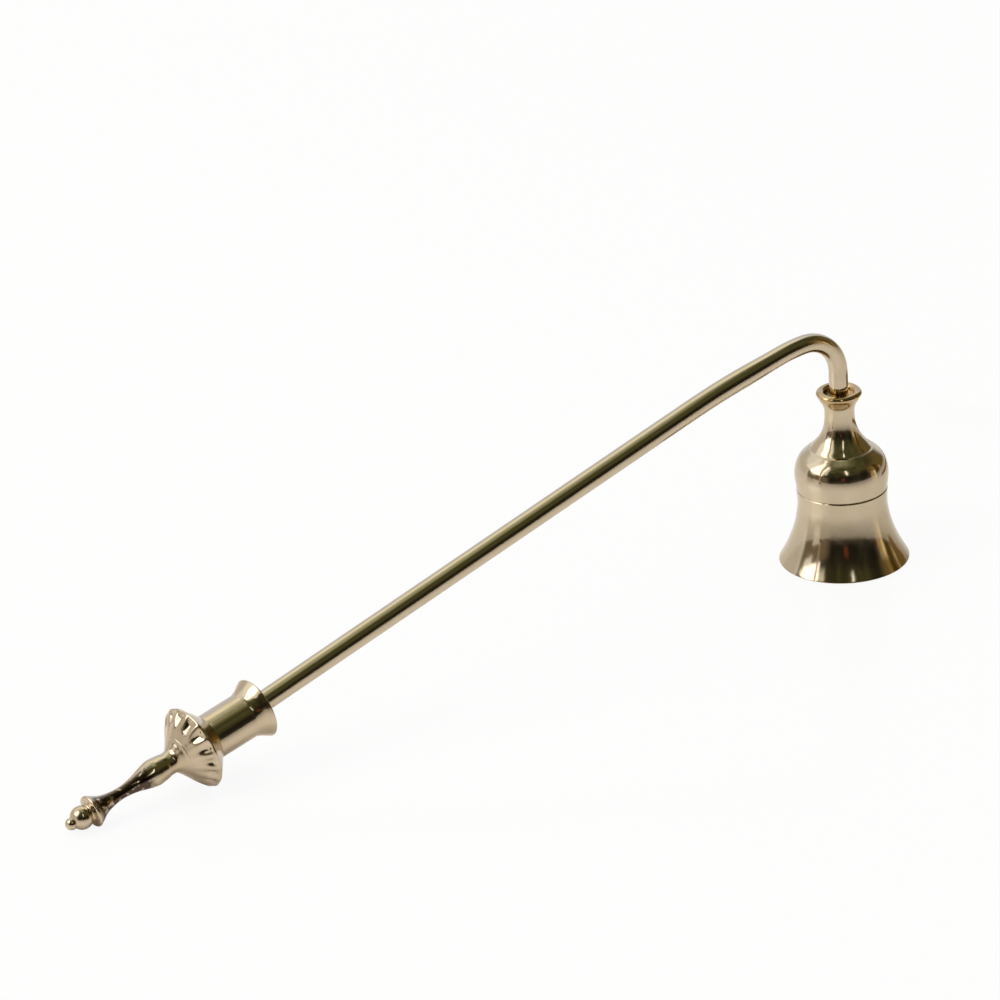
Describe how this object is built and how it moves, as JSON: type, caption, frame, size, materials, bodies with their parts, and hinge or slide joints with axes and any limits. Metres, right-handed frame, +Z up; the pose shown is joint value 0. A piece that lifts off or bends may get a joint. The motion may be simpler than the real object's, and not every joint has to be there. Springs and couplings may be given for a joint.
{
  "type": "candle snuffer",
  "caption": "Brass candle snuffer: a flared bell with a cupped neck on a slender rod that crooks over at one end, with a turned handle, a gadrooned disc and a small finial at the other.",
  "frame": {"origin": "on the table, midway between the finial's end and the far side of the bell's mouth, in the plane that the rod bends in", "axes": "+Z up, the handle points along -X and the bell stands at +X"},
  "size_m": [0.3102, 0.0398, 0.0777],
  "materials": {
    "bell_brass": "polished",
    "rod_brass": "polished",
    "handle_brass": "polished",
    "inner_brass": "plain",
    "stud_steel": "plain"
  },
  "bodies": {
    "root": {"bell_skirt": "bell_brass", "bell_dome": "bell_brass", "bell_neck": "bell_brass", "bell_washer": "inner_brass", "bell_nut": "inner_brass", "bell_stud": "stud_steel", "rod": "rod_brass", "handle_sleeve": "handle_brass", "sleeve_washer": "inner_brass", "gadrooned_disc": "handle_brass", "handle_stud": "stud_steel", "finial": "handle_brass"}
  },
  "joints": []
}
